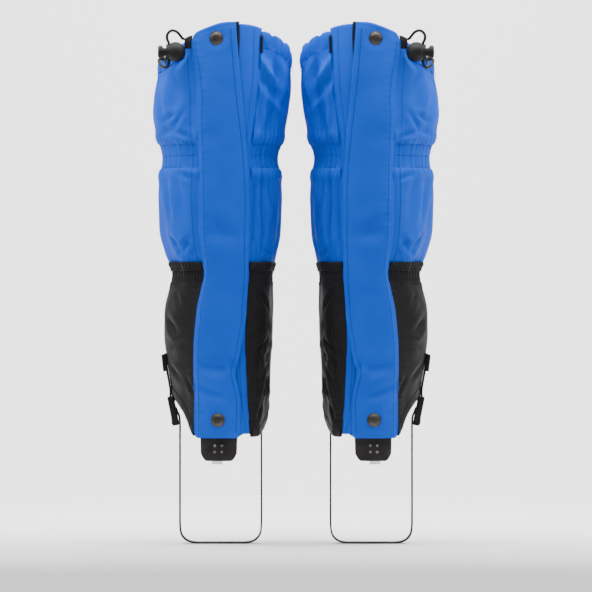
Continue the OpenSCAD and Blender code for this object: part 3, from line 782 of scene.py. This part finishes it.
def inside_band(side, name, height, width):
    """A band of elastic sewn to the inside of the panels, following their gathers."""
    shape = calf_shape if name == "calf_elastic" else ankle_shape
    a, z = sheet_grid(turned(inner_seam, 2), turned(flap_root, 358), level(height - width / 2),
                      level(height + width / 2), 330, 10)
    obj, _ = cloth(name, side, a, z, shape(a, z) - 1.6, 1.0)
    return finish_piece(obj, "elastic", "elastic_band", f"{side}_shell", f"{side}_{name}")


def tapes(side):
    """Hook tape on the placket and loop tape inside the flap, one over the other."""
    edge = turned(flap_edge, -1.0)
    a, z = sheet_grid(turned(edge, -8.4), lambda h: edge(h) + 0.6 + 3.9 * smooth((h - 490) / 52),
                      level(121), turned(rim, -1.2), 12, 220)
    obj, _ = cloth("hook_tape", side, a, z, placket_shape(a, z) + 1.45, 1.2)
    finish_piece(obj, "tape", "closure_tape", f"{side}_shell", f"{side}_hook_tape")
    a, z = sheet_grid(turned(edge, -8.4), edge, level(121), turned(rim, -4), 10, 220)
    obj, _ = cloth("loop_tape", side, a, z, flap_shape(a, z) - 1.6, 1.2)
    finish_piece(obj, "tape", "closure_tape", f"{side}_flap", f"{side}_loop_tape")


def trims(side):
    """The top hem, the band over the seam and the binding round the lower edge."""
    shell = f"{side}_shell"
    hem = rolled("top_hem", side, np.linspace(35.6, 320.5, 420), hem_profile)
    finish_piece(hem, "shell", "shell_fabric", shell, f"{side}_top_hem")
    band = rolled("seam_band", side, np.linspace(31.5, 337, 420), band_profile)
    finish_piece(band, "scuff", "scuff_fabric", shell, f"{side}_seam_band")
    edge = rolled("bottom_binding", side, np.linspace(42.5, 327.5, 420), binding_profile)
    finish_piece(edge, "binding", "binding_tape", shell, f"{side}_bottom_binding")


def snaps(side):
    """Domed caps with a rolled rim on the flap; what holds them lies between the layers."""
    for number, (angle, height) in enumerate(SNAPS):
        off = float(flap_shape(np.array(angle * 1.0), np.array(height * 1.0))) + 0.75
        cap = revolved(f"snap_cap_{number + 1}", side, angle, height, off, CAP)
        finish_piece(cap, "snap", "snap_metal", f"{side}_flap", f"{side}_snap_caps")


# Routes of the webbing, X and Z: round the buckle, down, under the boot and up to the inner side.
STRAP = [(-130.4, 126), (-131.2, 136), (-132.2, 141), (-130.6, 144), (-127.2, 143.6), (-125, 138.5),
         (-123.2, 134), (-122.6, 126), (-122.6, 110), (-122.6, 90), (-122.6, 60), (-122.6, 30), (-122.4, 18),
         (-121.2, 10.6), (-117.4, 5.2), (-112, 2.2), (-105, 1.05), (-95, 1), (-80, 1), (-65, 1), (-54, 1.05),
         (-47, 2.2), (-41.7, 5.2), (-37.9, 10.6), (-36.7, 18), (-36.5, 30), (-36.5, 60), (-36.5, 90),
         (-36.5, 110), (-36.5, 126), (-36.4, 135.6), (-34.8, 146), (-32.8, 158), (-31.6, 166), (-31.2, 177)]
BUCKLE_WEBBING = [(-138.2, 201), (-136.4, 184), (-133.2, 166), (-132.6, 158), (-133.4, 152), (-132.6, 148.6),
                  (-129.8, 148.6), (-128.8, 152), (-130.2, 155)]
WEBBING_FOLD = [(-140.4, 200), (-139.6, 191), (-138.4, 182)]
STRAP_Y = -12.0


def straps(side):
    """The instep strap, in one length from loose end to sewn end, and the webbing that holds the buckle."""
    strap = ribbon_piece("strap", side, STRAP, 1.9, 20, STRAP_Y)
    stands_for = [f"{side}_{node}" for node in ("instep_strap", "strap_tail", "inner_anchor")]
    finish_piece(strap, "webbing", "webbing", None, *stands_for)
    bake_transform(strap)
    holder = ribbon_piece("buckle_webbing", side, BUCKLE_WEBBING, 2.2, 20, STRAP_Y)
    finish_piece(holder, "webbing", "webbing", f"{side}_shell", f"{side}_buckle_webbing")
    fold = ribbon_piece("webbing_fold", side, WEBBING_FOLD, 3.6, 20.6, STRAP_Y)
    finish_piece(fold, "webbing", "webbing", f"{side}_shell", f"{side}_buckle_webbing")


def block(name, side, low, high, round_by, spin, about):
    """A block with rounded edges, turned by spin degrees about the Y axis through about, its X and Z."""
    low, high = np.array(low, float), np.array(high, float)
    middle, half = (low + high) / 2, (high - low) / 2
    turns = np.linspace(0, math.pi / 2, 5)
    section = []
    for quarter, (sx, sy) in enumerate(((1, 1), (-1, 1), (-1, -1), (1, -1))):
        for t in turns if quarter % 2 == 0 else turns[::-1]:
            section.append((sx * (half[0] - round_by + round_by * math.cos(t)),
                            sy * (half[1] - round_by + round_by * math.sin(t))))
    section = np.array(section)
    layers = []
    for t in turns:
        layers.append((-half[2] + round_by - round_by * math.cos(t), round_by * (1 - math.sin(t))))
    layers += [(-z, inset) for z, inset in reversed(layers)]
    inward = lambda value, inset: value - math.copysign(min(inset, abs(value)), value)
    verts = np.array([(inward(x, inset), inward(y, inset), z) for z, inset in layers for x, y in section])
    verts += middle
    c, s = math.cos(math.radians(spin)), math.sin(math.radians(spin))
    x, z = verts[:, 0] - about[0], verts[:, 2] - about[1]
    verts[:, 0], verts[:, 2] = about[0] + x * c + z * s, about[1] - x * s + z * c
    return mesh_piece(name, verts, swept(len(layers), len(section)), side, verts[:, [1, 2]] * MM)


def buckle(side):
    """The ladder buckle: two rails with three bars, the lowest one with a thumb edge."""
    about, spin = (-126.6, 127), -11.3
    for name, low, high in (
        ("buckle_rail_front", (-130.4, -25.4, 125), (-123.8, -22.4, 156)),
        ("buckle_rail_back", (-130.4, -1.6, 125), (-123.8, 1.4, 156)),
        ("buckle_top_bar", (-128.0, -23.0, 150.6), (-125.2, -1.0, 153.4)),
        ("buckle_middle_bar", (-128.0, -23.0, 138.6), (-125.2, -1.0, 141.4)),
        ("buckle_thumb_bar", (-130.2, -23.0, 126.6), (-125.2, -1.0, 129.4)),
    ):
        piece = block(name, side, low, high, 0.9, spin, about)
        finish_piece(piece, "plastic", "black_plastic", f"{side}_shell", f"{side}_strap_buckle")


def end_tab(side):
    """The stitched tab that holds the cord's end beside the flap, and the grommet that lets it out."""
    top = lambda t: 534.5 - 0.12 * (t + 29) ** 2 / 2
    a, z = sheet_grid(level(-36.2), level(-29.4), level(520.5), top, 16, 30)
    obj, _ = cloth("cord_end_tab", side, a, z, 2.4 + 0.5 * np.cos((z - 528) / 2.6), 3.6)
    finish_piece(obj, "webbing", "black_plastic", f"{side}_shell", f"{side}_cord_eyelet")
    ring = [(1.9, 0.2), (1.9, 1.6), (2.3, 2.0), (3.0, 2.0), (3.6, 1.6), (4.2, 0.6), (4.3, 0.0), (1.9, 0.0)]
    obj = revolved("grommet", side, -62, 511, 2.3, ring)
    finish_piece(obj, "snap", "black_plastic", f"{side}_shell", f"{side}_cord_eyelet")


def drawcord(side):
    """The drawcord, from its sewn end beside the placket, through the hem round the back, to the grommet."""
    heights = np.array([516.0, 520.0, 525.0, 530.0, 534.0])
    seam = inner_seam(heights) + 1.2
    surface = np.maximum(calf_shape(seam, heights), placket_shape(seam, heights))
    start = leg(seam, heights, surface + 1.6)
    a = np.linspace(36.5, 297, 220)
    edge = rim(a) + hem_wave(a)
    along = leg(a, edge - 7.2, calf_shape(a, edge - 17) - 1.2)
    path = np.vstack([start, along, LOOP_ROUTE[:1]])
    obj = tube_piece("drawcord", side, smooth_route(path, 3), CORD_D / 2)
    finish_piece(obj, "cord", "cord_braid", f"{side}_shell", f"{side}_drawcord")


def lace_tab(side):
    """The tab that holds the lace hook, with rounded lower corners."""
    low = lambda t: 89 + 8 * (np.clip(np.abs(t + 1) - 16, 0, None) / 9) ** 2
    a, z = sheet_grid(level(-26), level(24), low, level(126), 44, 40)
    obj, _ = cloth("hook_tab", side, a, z, -2.3 + 0 * a, 1.8)
    finish_piece(obj, "leather", "tab_leather", f"{side}_shell", f"{side}_hook_tab")


def loop_cord(side):
    """The drawcord's free loop through the cord lock."""
    path = smooth_route(LOOP_ROUTE, 8)
    obj = tube_piece("cord_loop", side, path, CORD_D / 2)
    finish_piece(obj, "cord", "cord_braid", f"{side}_shell", f"{side}_drawcord_loop")


def sewing(side):
    """The rows of stitches that show."""
    shell = f"{side}_shell"
    blue, dark = ("blue_thread", "shell_fabric"), ("dark_thread", "scuff_fabric")
    up = np.linspace(FLAP_BOTTOM + 2.5, 549, 400)
    up = up[up < rim(flap_root(up)) - 7]
    stitch_row("flap_seam_stitches", side, flap_shape, flap_root(up) + 5.6 / DEGREE, up, 0.95, *blue)
    up = np.linspace(300, 522, 300)
    outer = flap_root(up) + 360 - 2 - 6.6 / DEGREE
    stitch_row("panel_seam_stitches", side, calf_shape, outer, up, 0.8, *blue, body=shell)
    up = np.linspace(FLAP_BOTTOM + 6, 543, 400)
    stitch_row("flap_edge_stitches", side, flap_shape, flap_edge(up) - 5.5 / DEGREE, up, 0.95, *blue,
               body=f"{side}_flap")
    up = np.linspace(120, 544, 400)
    stitch_row("placket_stitches", side, placket_shape, inner_seam(up) - 7.5 / DEGREE, up, 0.75, *blue,
               body=shell)
    round_leg = np.linspace(34, 336, 500)
    middle, half = ELASTIC["calf"]
    for number, edge in enumerate((-half, 0, half)):
        stitch_row(f"calf_elastic_stitches_{number + 1}", side, calf_shape, round_leg,
                   middle + edge + 0 * round_leg, 0.8, *blue, body=shell)
    middle, half = ELASTIC["ankle"]
    for number, edge in enumerate((-half, half)):
        stitch_row(f"ankle_elastic_stitches_{number + 1}", side, ankle_shape, round_leg,
                   middle + edge + 0 * round_leg, 0.8, *dark, body=shell)
    hem_line = np.linspace(37, 319, 500)
    hem_height = rim(hem_line) + hem_wave(hem_line) - 16.2
    stitch_row("hem_stitches", side, calf_shape, hem_line, hem_height, 2.2, *blue, body=shell)
    low_line = np.linspace(44, 326, 500)
    stitch_row("binding_stitches", side, lambda a, z: ankle_shape(a, panel_hem(a) + 4), low_line,
               panel_hem(low_line) + 6.6, 1.6, *dark, body=shell)
    across = np.linspace(297, 359 + float(flap_root(191.0)) - 2, 120)
    stitch_row("ankle_cross_stitches", side, ankle_shape, across, 191 + 0 * across, 0.8, *dark, body=shell)
    rise = np.linspace(128, 274, 240)
    for name, away, places in (("outer", 353.5, flap_root), ("inner", 8.5, inner_seam)):
        for number, beside in enumerate((-1.6, 1.6)):
            stitch_row(f"ankle_{name}_stitches_{number + 1}", side, ankle_shape,
                       places(rise) + away + beside / DEGREE, rise, 0.8, *dark, body=shell)


for side in SIDES:
    trims(side)
    for piece, outer in panels(side):
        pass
    piece, outer = flap_sheet(side)
    inside_band(side, "calf_elastic", 408, 22)
    inside_band(side, "ankle_elastic", 282, 11)
    tapes(side)
    snaps(side)
    straps(side)
    lace_tab(side)
    buckle(side)
    end_tab(side)
    drawcord(side)
    loop_cord(side)
    sewing(side)
    for node, material in (("snap_sockets", "snap"), ("snap_studs", "snap"), ("snap_posts", "snap"),
                           ("cord_lock_body", "plastic"), ("cord_lock_button", "plastic"),
                           ("cord_lock_spring", "steel"),
                           ("lace_hook", "steel"), ("hook_rivets", "steel")):
        dress(f"{side}_{node}", material)


# ---------------------------------------------------------------- floor and light
def studio():
    """A pale seamless floor and soft lights, the same on both sides."""
    width, front, back, height, bend_r = 8.0, -4.0, 2.2, 4.0, 0.9
    turn = [(back - bend_r + bend_r * math.sin(t), bend_r - bend_r * math.cos(t))
            for t in np.linspace(0, math.pi / 2, 24)]
    profile = [(front, 0)] + turn + [(back, height)]
    verts = [(x, y, z) for y, z in profile for x in (-width / 2, width / 2)]
    faces = [(2 * i, 2 * i + 1, 2 * i + 3, 2 * i + 2) for i in range(len(profile) - 1)]
    mesh = bpy.data.meshes.new("backdrop")
    mesh.from_pydata(verts, [], faces)
    mesh.polygons.foreach_set("use_smooth", [True] * len(mesh.polygons))
    floor = bpy.data.objects.new("backdrop", mesh)
    bpy.context.scene.collection.objects.link(floor)
    paper = Nodes("paper")
    paper.set(Base_Color=(0.93, 0.93, 0.93, 1), Roughness=0.9)
    from_behind = paper.add("ShaderNodeNewGeometry").outputs["Backfacing"]
    see_through = paper.add("ShaderNodeMixShader")
    paper.link(from_behind, see_through.inputs[0])
    paper.link(paper.shader.outputs[0], see_through.inputs[1])
    paper.link(paper.add("ShaderNodeBsdfTransparent").outputs[0], see_through.inputs[2])
    paper.link(see_through.outputs[0], paper.tree.nodes["Material Output"].inputs["Surface"])
    mesh.materials.append(paper.material)
    for name, place, aim, size, power in (
        ("key_left", (-2.4, -0.62, 1.0), (-0.1, 0, 0.3), 0.5, 7),
        ("key_right", (2.4, -0.62, 1.0), (0.1, 0, 0.3), 0.5, 7),
        ("front_left", (-0.8, -2.2, 2.3), (0, 0, 0.25), 0.4, 20),
        ("front_right", (0.8, -2.2, 2.3), (0, 0, 0.25), 0.4, 20),
        ("backdrop_light", (0, 0.5, 1.7), (0, 2.2, 0.5), 2.4, 125),
        ("floor_light", (0, -0.4, 3.0), (0, 0.3, 0), 2.0, 45),
    ):
        light = bpy.data.lights.new(name, "AREA")
        light.shape, light.size, light.energy = "SQUARE", size, power
        lamp = bpy.data.objects.new(name, light)
        lamp.location = place
        lamp.rotation_euler = (Vector(aim) - Vector(place)).to_track_quat("-Z", "Y").to_euler()
        bpy.context.scene.collection.objects.link(lamp)
    world = bpy.data.worlds.new("studio")
    world.use_nodes = True
    background = world.node_tree.nodes["Background"]
    background.inputs["Color"].default_value = (1, 1, 1, 1)
    background.inputs["Strength"].default_value = 0.13
    bpy.context.scene.world = world


studio()
